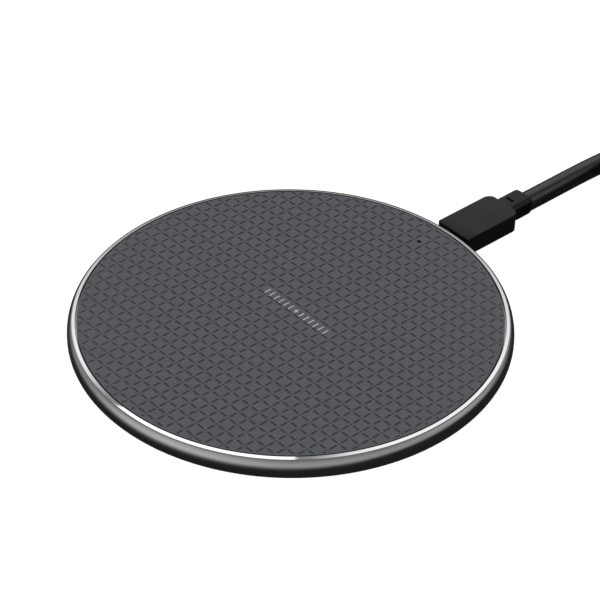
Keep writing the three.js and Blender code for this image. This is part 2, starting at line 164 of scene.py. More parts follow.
def cut(obj, *cutters):
    """Cuts the cutters out of obj and removes them."""
    for cutter in cutters:
        step = obj.modifiers.new("cut", "BOOLEAN")
        step.operation = "DIFFERENCE"
        step.solver = "EXACT"
        step.object = cutter
    apply_modifiers(obj)
    for cutter in cutters:
        bpy.data.objects.remove(cutter)
    finish_shading(obj.data)


def block(name, low, high):
    """A box between two opposite corners."""
    x, y, z = zip(low, high)
    sections = [[(x[0], y[0], h), (x[1], y[0], h), (x[1], y[1], h), (x[0], y[1], h)] for h in z]
    return lofted(name, sections)


def smoothstep(x):
    """Rises smoothly from 0 to 1 as x does, and is level beyond."""
    x = min(1.0, max(0.0, x))
    return x * x * (3 - 2 * x)


# ---- the cable ----------------------------------------------------------------------
CORD_D = 4.9
COIL_AT = (29.9, 120.0)
COIL_OUTER_R = 29.9
COIL_STEP = 4.9          # from one turn to the next inside it
LAYER_Z = (2.45, 7.35)
TIE_AT = 180.0           # degrees round each turn from where the cable comes in
TIE_LIFT = 0.9           # how far the turns rise to pass through the tie
TIE_SPREAD = 38.0        # degrees to each side over which they do

RUN_ROUTE = [
    (0, 72.8, 3.3), (0, 76, 3.3), (0, 80, 3.3), (0, 86, 3.32), (0, 92, 3.32), (0, 97, 3.22),
    (0, 102.5, 2.95), (0, 108, 2.67), (0, 113, 2.5), (0, 117, 2.45),
]
TAIL_ROUTE = [
    (0.12, 125.2, 7.3), (0.55, 130.67, 7.15), (1.63, 136.3, 6.5), (3.9, 141.8, 5.5),
    (7.4, 146.7, 4.3), (12.1, 150.8, 3.3), (20.6, 154.5, 2.6), (29.9, 155.75, 2.45),
    (39.2, 154.65, 2.45), (48.4, 151.9, 2.5), (56.8, 146.9, 2.75), (63.6, 139.6, 3.15),
    (67.9, 130.4, 3.6), (69.2, 120, 3.8), (69.2, 116.2, 3.8),
]
# The turns step inwards twice in the lower layer, climb, and step outwards twice in the upper
# one. These are degrees along the coil, and a step takes STEP_OVER of them.
INWARD = (210.0, 570.0)
CLIMB = (840.0, 1000.0)
OUTWARD = (1130.0, 1490.0)
STEP_OVER = 150.0
TURNS = 5
POINT_EVERY = 15


def coil_point(turn_deg):
    """A point of the coil, turn_deg degrees clockwise from where the cable comes in."""
    radius = COIL_OUTER_R
    for start in INWARD:
        radius -= COIL_STEP * smoothstep((turn_deg - start) / STEP_OVER)
    for start in OUTWARD:
        radius += COIL_STEP * smoothstep((turn_deg - start) / STEP_OVER)
    rise = smoothstep((turn_deg - CLIMB[0]) / (CLIMB[1] - CLIMB[0]))
    height = LAYER_Z[0] + (LAYER_Z[1] - LAYER_Z[0]) * rise
    from_tie = (turn_deg - TIE_AT + 180.0) % 360.0 - 180.0
    height += TIE_LIFT * math.exp(-(from_tie / TIE_SPREAD) ** 2)
    t = math.radians(180.0 - turn_deg)
    return (COIL_AT[0] + radius * math.cos(t), COIL_AT[1] + radius * math.sin(t), height)


def smooth_route(points, per_span=6):
    """Points along a smooth curve through the given ones."""
    p = [Vector(q) for q in points]
    p = [p[0] * 2 - p[1], *p, p[-1] * 2 - p[-2]]
    route = []
    for i in range(1, len(p) - 2):
        a, b, c, d = p[i - 1:i + 3]
        ta, tc = ((c - a).length, (d - b).length)
        ma = (c - a) * ((c - b).length / ta)
        mc = (d - b) * ((c - b).length / tc)
        for k in range(per_span):
            t = k / per_span
            route.append(
                b * (2 * t**3 - 3 * t**2 + 1) + ma * (t**3 - 2 * t**2 + t)
                + c * (3 * t**2 - 2 * t**3) + mc * (t**3 - t**2))
    route.append(p[-2])
    return route


def make_cord():
    """The cable as a tube, and the points that it follows, in metres."""
    turns = [coil_point(d) for d in range(0, TURNS * 360 + 1, POINT_EVERY)]
    route = smooth_route(RUN_ROUTE + turns + TAIL_ROUTE)
    curve = bpy.data.curves.new("supply_cord", "CURVE")
    curve.dimensions = "3D"
    curve.bevel_depth = CORD_D / 2 * MM
    curve.bevel_resolution = 10
    curve.use_fill_caps = True
    line = curve.splines.new("POLY")
    line.points.add(len(route) - 1)
    for point, place in zip(line.points, route):
        point.co = (*(place * MM), 1.0)
    line.use_smooth = True
    line_object = link("cord_line", curve)
    bpy.context.view_layer.update()
    shaped = line_object.evaluated_get(bpy.context.evaluated_depsgraph_get())
    tube = link("supply_cord", bpy.data.meshes.new_from_object(shaped))
    bpy.data.objects.remove(line_object)
    bpy.data.curves.remove(curve)
    return tube, [place * MM for place in route]


supply_cord, cord_path = make_cord()
cord_length = sum((b - a).length for a, b in zip(cord_path, cord_path[1:]))
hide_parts("cord_run", "cord_coil", "cord_tail")
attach(supply_cord, "cable")


def keep(obj, body, slot, *nodes):
    """obj stands for these CAD nodes and moves with that body. slot is not used."""
    if nodes:
        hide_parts(*nodes)
    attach(obj, body)
    return obj


# ---- materials ----------------------------------------------------------------------
class Nodes:
    """Short ways to add to a node tree."""

    def __init__(self, tree):
        self.tree = tree

    def add(self, kind, inputs=(), **settings):
        made = self.tree.nodes.new(kind)
        for key, value in settings.items():
            setattr(made, key, value)
        for key, value in dict(inputs).items():
            if isinstance(value, bpy.types.NodeSocket):
                self.tree.links.new(value, made.inputs[key])
            else:
                made.inputs[key].default_value = value
        return made

    def maths(self, operation, *values):
        return self.add("ShaderNodeMath", dict(enumerate(values)), operation=operation).outputs[0]

    def between(self, value, low, high, to_low, to_high):
        return self.add("ShaderNodeMapRange", {
            "Value": value, "From Min": low, "From Max": high,
            "To Min": to_low, "To Max": to_high,
        }).outputs["Result"]


class Finish(Nodes):
    """A node material with one Principled shader."""

    def __init__(self, name, color, roughness, metallic=0.0, **sockets):
        self.material = bpy.data.materials.new(name)
        self.material.use_nodes = True
        super().__init__(self.material.node_tree)
        self.shader = self.tree.nodes["Principled BSDF"]
        self.shader.inputs["Base Color"].default_value = (*color, 1.0)
        self.shader.inputs["Roughness"].default_value = roughness
        self.shader.inputs["Metallic"].default_value = metallic
        for socket, value in sockets.items():
            self.shader.inputs[socket.replace("_", " ")].default_value = value
        self.color = color
        self.bumps = None

    def place(self):
        return self.add("ShaderNodeTexCoord").outputs["Object"]

    def noise(self, size_mm, detail=3.0, roughness=0.55):
        return self.add("ShaderNodeTexNoise", {
            "Vector": self.place(), "Scale": 1.0 / (size_mm * MM),
            "Detail": detail, "Roughness": roughness,
        }).outputs["Fac"]

    def shades(self, value, low, high, times_low, times_high):
        """Varies the colour with value, between two multiples of it."""
        ramp = self.add("ShaderNodeMix", data_type="RGBA")
        ramp.inputs["A"].default_value = (*(c * times_low for c in self.color), 1.0)
        ramp.inputs["B"].default_value = (*(c * times_high for c in self.color), 1.0)
        self.tree.links.new(self.between(value, low, high, 0.0, 1.0), ramp.inputs["Factor"])
        self.tree.links.new(ramp.outputs["Result"], self.shader.inputs["Base Color"])

    def gloss(self, value, low, high, rough_low, rough_high):
        """Varies the roughness with value."""
        self.tree.links.new(self.between(value, low, high, rough_low, rough_high),
                            self.shader.inputs["Roughness"])

    def bump(self, value, depth_mm, strength=1.0):
        """Adds relief of this depth to what the finish already has."""
        inputs = {"Height": value, "Distance": depth_mm * MM, "Strength": strength}
        if self.bumps is not None:
            inputs["Normal"] = self.bumps
        self.bumps = self.add("ShaderNodeBump", inputs).outputs["Normal"]
        self.tree.links.new(self.bumps, self.shader.inputs["Normal"])


def moulded(name, color, roughness, grain_mm=0.12, depth_mm=0.004, **sockets):
    """Moulded plastic or rubber: fine spark texture, with faint wear in its gloss."""
    made = Finish(name, color, roughness, **sockets)
    made.bump(made.noise(grain_mm, 4.0, 0.6), depth_mm)
    wide = made.noise(9.0, 4.0)
    made.shades(wide, 0.3, 0.7, 0.9, 1.1)
    made.gloss(wide, 0.3, 0.7, roughness - 0.05, roughness + 0.05)
    return made


def metal(name, color, roughness, **sockets):
    """Bare metal: fine grain, with slow changes in its gloss and shade."""
    made = Finish(name, color, roughness, 1.0, **sockets)
    made.bump(made.noise(0.2, 4.0, 0.6), 0.0006)
    made.gloss(made.noise(3.0), 0.3, 0.7, roughness - 0.04, roughness + 0.05)
    made.shades(made.noise(6.0), 0.3, 0.7, 0.96, 1.04)
    return made


SKIN_COLOR = (0.0759, 0.0782, 0.0891)
# The grooves' colour is painted shade: the recesses are drawn darker than the skin.
GROOVE_SHADE_COLOR = (0.0403, 0.0416, 0.0465)
GROOVE_LIGHT_FADE = (36.0, 66.0)    # the size of x + y over which painted light makes the grooves paler


def skin_finish():
    """Soft-touch skin: fine grain with a faint mottle."""
    made = Finish("cover_skin", SKIN_COLOR, 0.62, Specular_IOR_Level=0.35)
    grain = made.noise(0.16, 4.0, 0.65)
    mottle = made.maths("ADD", made.maths("MULTIPLY", grain, 0.5),
                        made.maths("MULTIPLY", made.noise(2.5, 3.0), 0.5))
    made.shades(mottle, 0.3, 0.7, 0.9, 1.1)
    made.gloss(grain, 0.3, 0.7, 0.56, 0.7)
    made.bump(grain, 0.01, 0.8)
    return made.material


def groove_shade_and_light_finish():
    """The recesses: darker than the skin as painted shade, and least so near the rim on the line
    X = Y, where painted light makes them paler.
    """
    made = Finish("cover_groove_painted_shade_and_light", GROOVE_SHADE_COLOR, 0.7, Specular_IOR_Level=0.35)
    place = made.add("ShaderNodeSeparateXYZ", {"Vector": made.place()})
    across = made.maths("ABSOLUTE", made.maths("ADD", place.outputs["X"], place.outputs["Y"]))
    # Painted light: the grooves get paler towards the rim along X = Y.
    made.shades(across, *(size * MM for size in GROOVE_LIGHT_FADE), 1.0, 1.35)
    made.bump(made.noise(0.16, 4.0, 0.65), 0.006)
    return made.material


def radius_of(made):
    """Distance from the pad's axis, in metres."""
    place = made.add("ShaderNodeSeparateXYZ", {"Vector": made.place()})
    x, y = place.outputs["X"], place.outputs["Y"]
    return made.maths("SQRT", made.maths(
        "ADD", made.maths("MULTIPLY", x, x), made.maths("MULTIPLY", y, y)))


def band_finish():
    """Diamond-turned band: mirror bright, with the tool's fine circular lines."""
    made = Finish("machined_band", (0.93, 0.93, 0.94), 0.055, 1.0)
    lines = made.add("ShaderNodeTexNoise", {
        "W": made.maths("MULTIPLY", radius_of(made), 1.0 / (0.03 * MM)), "Scale": 1.0,
        "Detail": 2.0,
    }, noise_dimensions="1D").outputs["Fac"]
    made.bump(lines, 0.0001)
    made.gloss(made.noise(4.0), 0.3, 0.7, 0.045, 0.065)
    made.shades(lines, 0.3, 0.7, 0.97, 1.0)
    return made.material


def side_finish():
    """Bead-blasted and anodised aluminium in a dark grey."""
    made = Finish("anodised_side", (0.365, 0.365, 0.362), 0.17, 1.0)
    blasted = made.noise(0.09, 3.0, 0.6)
    made.bump(blasted, 0.001)
    made.gloss(made.noise(5.0), 0.3, 0.7, 0.15, 0.19)
    made.shades(blasted, 0.3, 0.7, 0.94, 1.06)
    return made.material


def weave_finish(name, color):
    """Woven strap: fine ribs across it."""
    made = Finish(name, color, 0.85, Sheen_Weight=0.4, Sheen_Roughness=0.5)
    wave = made.add("ShaderNodeTexWave", {
        "Vector": made.place(), "Scale": 1.0 / (1.6 * MM), "Distortion": 1.5, "Detail": 2.0,
    }, bands_direction="Y").outputs["Fac"]
    made.bump(wave, 0.05)
    made.bump(made.noise(0.15), 0.03)
    made.shades(wave, 0.2, 0.8, 0.7, 1.25)
    return made.material


SKIN = skin_finish()
SHADED_GROOVE = groove_shade_and_light_finish()
MARK = moulded("printed_mark", (0.42, 0.42, 0.43), 0.5, 0.1, 0.002).material
BAND = band_finish()
SIDE = side_finish()
SHELL = moulded("shell_plastic", (0.016, 0.016, 0.017), 0.5, 0.14, 0.008).material
RUBBER = moulded("foot_rubber", (0.016, 0.016, 0.016), 0.8, 0.3, 0.02).material
GRIP = moulded("plug_plastic", (0.0012, 0.0012, 0.0012), 0.42, 0.1, 0.003,
               Specular_IOR_Level=0.33).material
JACKET = moulded("cable_jacket", (0.0035, 0.0035, 0.0035), 0.3, 0.25, 0.004,
                 Coat_Weight=0.22, Coat_Roughness=0.2).material
SLEEVE = moulded("sleeve_plastic", (0.001, 0.001, 0.001), 0.36, 0.1, 0.003,
                 Specular_IOR_Level=0.25).material
STRAP = weave_finish("tie_strap", (0.02, 0.02, 0.021))
STEEL = metal("plug_steel", (0.66, 0.66, 0.67), 0.24).material
GOLD = metal("contact_gold", (0.85, 0.62, 0.28), 0.2).material
DARK_PLASTIC = moulded("contact_plastic", (0.01, 0.01, 0.011), 0.45).material
LENS_PLASTIC = moulded("smoked_lens", (0.008, 0.008, 0.009), 0.12, 0.5, 0.001).material
NODE_LOOKS = {
    "copper": metal("enamelled_copper", (0.60, 0.25, 0.11), 0.3, Coat_Weight=0.6).material,
    "ferrite": moulded("sintered_ferrite", (0.03, 0.03, 0.033), 0.7, 0.3, 0.02).material,
    "tape": moulded("foam_tape", (0.66, 0.62, 0.5), 0.8, 0.5, 0.03).material,
    "board": moulded("solder_mask", (0.012, 0.08, 0.03), 0.35, 0.6, 0.01,
                     Coat_Weight=0.4).material,
    "chip_resin": moulded("chip_resin", (0.015, 0.015, 0.016), 0.55, 0.1, 0.008).material,
    "capacitor_ceramic": moulded("capacitor_ceramic", (0.36, 0.25, 0.15), 0.5).material,
    "tin": metal("tinned_lid", (0.62, 0.62, 0.6), 0.3).material,
    "clear_plastic": LENS_PLASTIC,
    "contact_plastic": DARK_PLASTIC,
    "shell_plastic": SHELL,
    "steel": STEEL,
    "frame_metal": SIDE,
    "foot_rubber": RUBBER,
    "cover_skin": SKIN,
    "plug_plastic": GRIP,
    "cable_jacket": JACKET,
    "tie_strap": STRAP,
}


def paint(obj, *looks):
    obj.data.materials.clear()
    for look in looks:
        obj.data.materials.append(look)


paint(supply_cord, JACKET)

# ---- top cover ----------------------------------------------------------------------
SKIN_R = 47.72
SKIN_Z = (6.2, 6.5)
EDGE_ROUND = 0.06
RIM_SIDES = 240
# A square grid with a short dash in the middle of each side and a cross at each corner.
PITCH = 3.077
GRID_AT = (-0.06, 0.46)
PATTERN_R = 47.35
DASH = (1.82, 0.54)      # length and width
DASH_CORNER = 0.7        # radius of its corners, as a share of its half width
DASH_DEPTH = 0.14
LEAST_DASH = 0.14        # half width under which a dash that the rim cuts off is left out
CROSS = (0.34, 0.09)     # half length and half width of its arms
CROSS_DEPTH = 0.05
SLOPE = 0.07             # the side of a dash leans in by this much, and a cross's by half
WINDOW = (-1.7, 40.7, 0.5)    # x, y and radius
WINDOW_SIDES = 20
CLEAR_OF_WINDOW = {"dash": 1.4, "cross": 1.2}
SAME_POINT = 0.01
SNAP = 1e-5
# The printed mark, and the space that the dashes leave for it.
MARK_X = (-10.3, 10.0)
MARK_Y = (0.46, 2.6)
MARK_AT_Y = 1.7
MARK_HALF_H = 0.92
MARK_STROKE = 0.3
MARK_T = 0.02
MARK_ARCS = (2.0, 3.6, 5.2, 6.8, 8.4, 10.0)
BOLT = ((0.14, 1.0), (-0.62, -0.12), (-0.08, -0.12), (-0.2, -1.0), (0.62, 0.16), (0.08, 0.16))


def circle(x, y, r, sides):
    return [(x + r * math.cos(2 * math.pi * i / sides), y + r * math.sin(2 * math.pi * i / sides))
            for i in range(sides)]


def within_pattern(outline):
    """The part of a convex outline that the pattern's round edge leaves."""
    middle = sum((Vector(p) for p in outline), Vector((0.0, 0.0)))
    out = middle.normalized()
    kept = []
    for p, q in zip(outline, outline[1:] + outline[:1]):
        over_p, over_q = (out.dot(Vector(v)) - PATTERN_R for v in (p, q))
        if over_p <= 0.0:
            kept.append(p)
        if (over_p < 0.0) != (over_q < 0.0):
            cross = Vector(p).lerp(Vector(q), over_p / (over_p - over_q))
            if all((cross - Vector(v)).length > SAME_POINT for v in (p, q)):
                kept.append(tuple(cross))
    return kept


def extent(outline):
    """Middle and half size of an outline, along X and along Y."""
    spans = [(min(v), max(v)) for v in zip(*outline)]
    return [((low + high) / 2, (high - low) / 2) for low, high in spans]


def drawn_in(outline, by):
    """The outline made smaller by this much on every side."""
    sizes = extent(outline)
    return [tuple(c + (v - c) * (1 - by / half) for v, (c, half) in zip(p, sizes))
            for p in outline]


def from_window(x, y):
    return math.hypot(x - WINDOW[0], y - WINDOW[1])


def dash_outlines():
    half_long, half_wide = DASH[0] / 2, DASH[1] / 2
    dash = rounded_rectangle(half_long, half_wide, half_wide * DASH_CORNER, 2)
    reach = int(SKIN_R / PITCH) + 2
    outlines = []
    for i in range(-reach, reach + 1):
        for j in range(-reach, reach + 1):
            for along_x in (True, False):
                x = GRID_AT[0] + (i + 0.5 * along_x) * PITCH
                y = GRID_AT[1] + (j + 0.5 * (not along_x)) * PITCH
                on_mark = (not along_x and MARK_X[0] < x < MARK_X[1]
                           and MARK_Y[0] < y < MARK_Y[1])
                if on_mark or from_window(x, y) < CLEAR_OF_WINDOW["dash"]:
                    continue
                outline = within_pattern(
                    [(x + u, y + v) if along_x else (x - v, y + u) for u, v in dash])
                if len(outline) > 3 and min(half for _, half in extent(outline)) > LEAST_DASH:
                    outlines.append(outline)
    return outlines


def cross_places():
    reach = int(SKIN_R / PITCH) + 1
    places = []
    for i in range(-reach, reach + 1):
        for j in range(-reach, reach + 1):
            x, y = GRID_AT[0] + i * PITCH, GRID_AT[1] + j * PITCH
            on_window = from_window(x, y) < CLEAR_OF_WINDOW["cross"]
            if math.hypot(x, y) < PATTERN_R - CROSS[0] and not on_window:
                places.append((x, y))
    return places


def cross_outline(x, y, inset):
    a, b = CROSS[0] - inset, CROSS[1] - inset
    corners = [(a, -b), (a, b), (b, b), (b, a), (-b, a), (-b, b),
               (-a, b), (-a, -b), (-b, -b), (-b, -a), (b, -a), (b, -b)]
    return [(x + u, y + v) for u, v in corners]


def triangulated(loops):
    """Points of closed loops, each point's loop, each loop's first point, and the triangles."""
    points, edges, owners, starts = [], [], [], []
    for number, loop in enumerate(loops):
        start, count = len(points), len(loop)
        starts.append(start)
        points += [Vector(p) for p in loop]
        owners += [number] * count
        edges += [(start + i, start + (i + 1) % count) for i in range(count)]
    triangles = geometry.delaunay_2d_cdt(points, edges, [], 0, SNAP)[2]
    return points, owners, starts, triangles


def make_cover():
    """The skin, with its recesses modelled in its top, its round edge and its window."""
    rim = circle(0, 0, SKIN_R - EDGE_ROUND, RIM_SIDES)
    window = circle(*WINDOW, WINDOW_SIDES)
    dashes = dash_outlines()
    crosses = cross_places()
    recesses = [(outline, drawn_in(outline, SLOPE), DASH_DEPTH) for outline in dashes]
    recesses += [(cross_outline(*p, 0.0), cross_outline(*p, SLOPE / 2), CROSS_DEPTH)
                 for p in crosses]
    loops = [rim, window] + [outline for outline, _, _ in recesses]
    cross_at = dict(enumerate(crosses, 2 + len(dashes)))
    flat, owner, starts, triangles = triangulated(loops)
    low, top = SKIN_Z
    points = [(p.x, p.y, top) for p in flat]
    faces, looks = [], []

    def face(corners, look=0):
        faces.append(tuple(corners))
        looks.append(look)

    def on_cover(triangle):
        """Whether a triangle lies on the cover's face and not across a recess."""
        owners = {owner[i] for i in triangle}
        if len(owners) > 1 or owners == {0}:
            return True
        at = cross_at.get(owners.pop())
        if at is None:
            return False
        middle = sum((flat[i] for i in triangle), Vector((0.0, 0.0))) / 3 - Vector(at)
        return min(abs(middle.x), abs(middle.y)) > CROSS[1]

    for triangle in triangles:
        if on_cover(triangle):
            face(triangle)
    # The recesses' walls and floors take the groove's painted shade.
    for start, (outline, floor_outline, depth) in zip(starts[2:], recesses):
        count, floor = len(outline), len(points)
        points += [(*p, top - depth) for p in floor_outline]
        for i in range(count):
            j = (i + 1) % count
            face((start + i, start + j, floor + j, floor + i), 1)
        face(range(floor, floor + count), 1)
    # From the top's rim and from the window, walls go down to the underside.
    under = []
    # Below the rounded edge the rim's wall takes the dark plastic: painted shade for the narrow
    # gap between the cover and the band.
    rim_rings = [(SKIN_R - 0.02, top - 0.02, 0), (SKIN_R, top - EDGE_ROUND, 0), (SKIN_R, low, 2)]
    for loop, centre, rings in ((0, (0, 0), rim_rings), (1, WINDOW[:2], [(WINDOW[2], low, 2)])):
        count, before = len(loops[loop]), starts[loop]
        for r, z, look in rings:
            after = len(points)
            points += [(*p, z) for p in circle(*centre, r, count)]
            for i in range(count):
                j = (i + 1) % count
                face((before + i, before + j, after + j, after + i), look)
            before = after
        under.append((before, count))
    (outer, outer_count), (inner, _) = under
    edge_loops = [[p[:2] for p in points[start:start + count]] for start, count in under]
    for triangle in triangulated(edge_loops)[3]:
        if min(triangle) < outer_count:
            face([outer + i if i < outer_count else inner + i - outer_count for i in triangle])
    cover = mesh_piece("patterned_cover", points, faces, 20.0)
    paint(cover, SKIN, SHADED_GROOVE, DARK_PLASTIC)
    for polygon, look in zip(cover.data.polygons, looks):
        polygon.material_index = look
    return cover


keep(make_cover(), "pad", "cover_skin", "top_skin")


def make_mark():
    """A generic printed mark: a bolt between rows of arcs that spread out from it."""
    z = (SKIN_Z[1], SKIN_Z[1] + MARK_T)
    x0, y0 = (MARK_X[0] + MARK_X[1]) / 2, MARK_AT_Y

    def arc(side, r, turns):
        return [(x0 + side * r * math.cos(t), y0 + r * math.sin(t)) for t in turns]

    outlines = [[(x0 + x, y0 + y * MARK_HALF_H) for x, y in BOLT]]
    for side in (-1, 1):
        for r in MARK_ARCS:
            spread = math.asin(MARK_HALF_H / r)
            turns = [side * spread * (k / 4 - 1) for k in range(9)]
            outlines.append(arc(side, r, turns) + arc(side, r - MARK_STROKE, turns[::-1]))
    points, faces = [], []
    for outline in outlines:
        start, n = len(points), len(outline)
        points += [(*p, h) for h in z for p in outline]
        faces += [(start + i, start + (i + 1) % n, start + n + (i + 1) % n, start + n + i)
                  for i in range(n)]
        faces += [tuple(range(start, start + n)), tuple(range(start + n, start + 2 * n))]
    return mesh_piece("printed_mark", points, faces)


mark = keep(make_mark(), "pad", "cover_skin")
paint(mark, MARK)

# ---- metal frame --------------------------------------------------------------------
PAD_R = 50.0
BAND_IN = (48.08, 6.54)
BAND_OUT = (48.82, 6.34)
SIDE_Z = (3.1, 3.4)
CREASE = 83.0            # degrees up the side's upper curve where the band cuts it off
SIDE_STEPS = 14
UNDERCUT = (46.0, 0.5)   # radius and height where the side's lower curve would end
FRAME_LOW_Z = 0.8
LEDGE_R, LEDGE_Z = 46.4, (4.7, 5.3)
FRAME_WALL_R = 47.2
FRAME_SIDES = 288
FRAME_CREASES = 12.0     # degrees above which an edge of the frame stays crisp
USB_Z = 3.825
NOTCH = {"half": (4.1, 1.55), "corner": 0.6, "y": (45.0, 52.0)}


def frame_profile():
    """The frame's section: machined band, rounded side, then the wall and ledge inside."""
    band = [(BAND_IN[0], BAND_IN[1] - 0.06), (BAND_IN[0] + 0.04, BAND_IN[1]),
            (BAND_OUT[0] - 0.03, BAND_OUT[1] + 0.01)]
    profile = [BAND_OUT]
    crease = math.radians(CREASE)
    wide = (PAD_R - BAND_OUT[0]) / (1 - math.cos(crease))
    high = (BAND_OUT[1] - SIDE_Z[1]) / math.sin(crease)
    for i in range(1, SIDE_STEPS + 1):
        t = crease * (1 - i / SIDE_STEPS)
        profile.append((PAD_R - wide * (1 - math.cos(t)), SIDE_Z[1] + high * math.sin(t)))
    deep = SIDE_Z[0] - UNDERCUT[1]
    lowest = math.asin((SIDE_Z[0] - FRAME_LOW_Z) / deep)
    for i in range(SIDE_STEPS + 1):
        t = lowest * i / SIDE_STEPS
        profile.append((UNDERCUT[0] + (PAD_R - UNDERCUT[0]) * math.cos(t),
                        SIDE_Z[0] - deep * math.sin(t)))
    inner = [(FRAME_WALL_R, FRAME_LOW_Z), (FRAME_WALL_R, LEDGE_Z[0]), (LEDGE_R, LEDGE_Z[0]),
             (LEDGE_R, LEDGE_Z[1]), (BAND_IN[0], LEDGE_Z[1])]
    return band + profile + inner


def make_frame():
    """The frame, with the opening for the plug and its band painted apart."""
    ring = turned("metal_frame", frame_profile(), FRAME_SIDES, FRAME_CREASES)
    outline = [(x, z + USB_Z) for x, z in rounded_rectangle(*NOTCH["half"], NOTCH["corner"])]
    notch = lofted("notch", [[(x, y, z) for x, z in outline] for y in NOTCH["y"]])
    cut(ring, notch)
    finish_shading(ring.data, FRAME_CREASES)
    paint(ring, SIDE, BAND)
    for polygon in ring.data.polygons:
        r = math.hypot(polygon.center.x, polygon.center.y)
        if polygon.center.z > (BAND_OUT[1] - 0.01) * MM and r < (BAND_OUT[0] + 0.01) * MM:
            polygon.material_index = 1
    return ring


keep(make_frame(), "pad", "frame_metal", "frame_ring")

# ---- small USB plug -----------------------------------------------------------------
GRIP_HALF = (5.05, 2.435)
GRIP_Z = 3.935
GRIP_Y = (50.1, 67.0)
GRIP_REAR_R = 2.2
GRIP_EDGE = 0.18
GRIP_FRONT = ((0.0, 0.18), (0.05, 0.07), (0.18, 0.0))    # distance back, and smaller by
GRIP_CHAMFER = 0.8       # length of the slope under its rear end
CHAMFER_SLOPE = 0.9
PLUG_CREASES = 40.0      # degrees above which an edge of a plug or sleeve stays crisp


def arc_steps(steps, first=0):
    """Angles from 0 to a quarter turn."""
    return [math.pi / 2 * i / steps for i in range(first, steps + 1)]


def grip_section(y, half_w, top, low, radius):
    half_h = (top - low) / 2
    return [(x, y, (top + low) / 2 + z) for x, z in rounded_rectangle(half_w, half_h, radius)]


def make_plug_grip():
    top, low = GRIP_Z + GRIP_HALF[1], GRIP_Z - GRIP_HALF[1]
    y0, y1 = GRIP_Y
    sections = []
    for y, inset in GRIP_FRONT:
        sections.append(grip_section(y0 + y, GRIP_HALF[0] - inset, top - inset, low + inset,
                                     GRIP_EDGE))
    for y in (4.0, 8.0, y1 - y0 - GRIP_REAR_R - 1.0):
        sections.append(grip_section(y0 + y, GRIP_HALF[0], top, low, GRIP_EDGE))
    for t in arc_steps(16):
        y = y1 - GRIP_REAR_R + GRIP_REAR_R * math.sin(t)
        half_w = GRIP_HALF[0] - GRIP_REAR_R * (1 - math.cos(t))
        rise = max(0.0, y - (y1 - GRIP_CHAMFER))
        fall = GRIP_EDGE * smoothstep((y - (y1 - GRIP_EDGE)) / GRIP_EDGE)
        sections.append(grip_section(y, half_w, top - fall, low + rise * CHAMFER_SLOPE,
                                     GRIP_EDGE))
    return lofted("plug_body", sections, PLUG_CREASES)


grip = keep(make_plug_grip(), "cable", "plug_plastic", "plug_grip")
paint(grip, GRIP)

RELIEF_HALF_W = 3.04
RELIEF_Z = (0.8, 6.35)
RELIEF_CORNER = {"top": 1.35, "low": 2.75}
RELIEF_Y = (67.0, 73.8)
RELIEF_END_R = 0.9
RELIEF_FILLET = ((-0.3, -0.35), (0.0, -0.35), (0.1, -0.19), (0.25, -0.07), (0.5, 0.0))
SLOT = {"x": (-1.3, 0.9), "y": (68.6, 69.25), "depth": 0.6}


def relief_section(y, shrink):
    """Nearly flat on top and round underneath, and made smaller by shrink all round."""
    half_w = RELIEF_HALF_W - shrink
    low, top = RELIEF_Z[0] + max(shrink, 0.0), RELIEF_Z[1] - max(shrink, 0.0)
    points = []
    for sx, edge, corner, start in ((1, top, "top", 0), (-1, top, "top", 90),
                                    (-1, low, "low", 180), (1, low, "low", 270)):
        r = max(0.3, RELIEF_CORNER[corner] - shrink)
        cz = edge - r if corner == "top" else edge + r
        for turn in arc_steps(8):
            t = math.radians(start) + turn
            points.append((sx * (half_w - r) + r * math.cos(t), y, cz + r * math.sin(t)))
    return points


def make_strain_relief():
    """The sleeve, flared where it meets the plug, rounded at its end, with a slot on top."""
    y0, y1 = RELIEF_Y
    sections = [relief_section(y0 + y, grow) for y, grow in RELIEF_FILLET]
    sections += [relief_section(y0 + y, 0.0) for y in (2.0, 4.0)]
    for t in arc_steps(8):
        sections.append(relief_section(y1 - RELIEF_END_R + RELIEF_END_R * math.sin(t),
                                       RELIEF_END_R * 0.95 * (1 - math.cos(t))))
    sleeve = lofted("strain_relief_sleeve", sections, PLUG_CREASES)
    (x0, x1), (slot_y0, slot_y1), top = SLOT["x"], SLOT["y"], RELIEF_Z[1]
    cut(sleeve, block("slot", (x0, slot_y0, top - SLOT["depth"]), (x1, slot_y1, top + 1)))
    return sleeve


relief = keep(make_strain_relief(), "cable", "cable_jacket", "strain_relief")
paint(relief, SLEEVE)

# ---- tie round the coil -------------------------------------------------------------
TIE_T = 0.8
TIE_W = 8.0
TIE_GAP = 0.03           # between it and the turns
TIE_LOW_Z = 0.04


def hull(points):
    """The convex hull of points in a plane, counter-clockwise."""
    points = sorted(set(points))

    def half(run):
        kept = []
        for p in run:
            while len(kept) > 1 and ((kept[-1][0] - kept[-2][0]) * (p[1] - kept[-2][1])
                                     - (kept[-1][1] - kept[-2][1]) * (p[0] - kept[-2][0])) <= 0:
                kept.pop()
            kept.append(p)
        return kept[:-1]

    return half(points) + half(points[::-1])


def evenly(loop, count):
    """count points round a closed loop, by angle from its middle."""
    cx = sum(p[0] for p in loop) / len(loop)
    cy = sum(p[1] for p in loop) / len(loop)
    found = []
    for k in range(count):
        t = 2 * math.pi * k / count
        ray = Vector((math.cos(t), math.sin(t)))
        for a, b in zip(loop, loop[1:] + loop[:1]):
            hit = geometry.intersect_line_line_2d(
                Vector((cx, cy)), Vector((cx, cy)) + ray * 100, Vector(a), Vector(b))
            if hit:
                found.append(hit)
                break
    return found


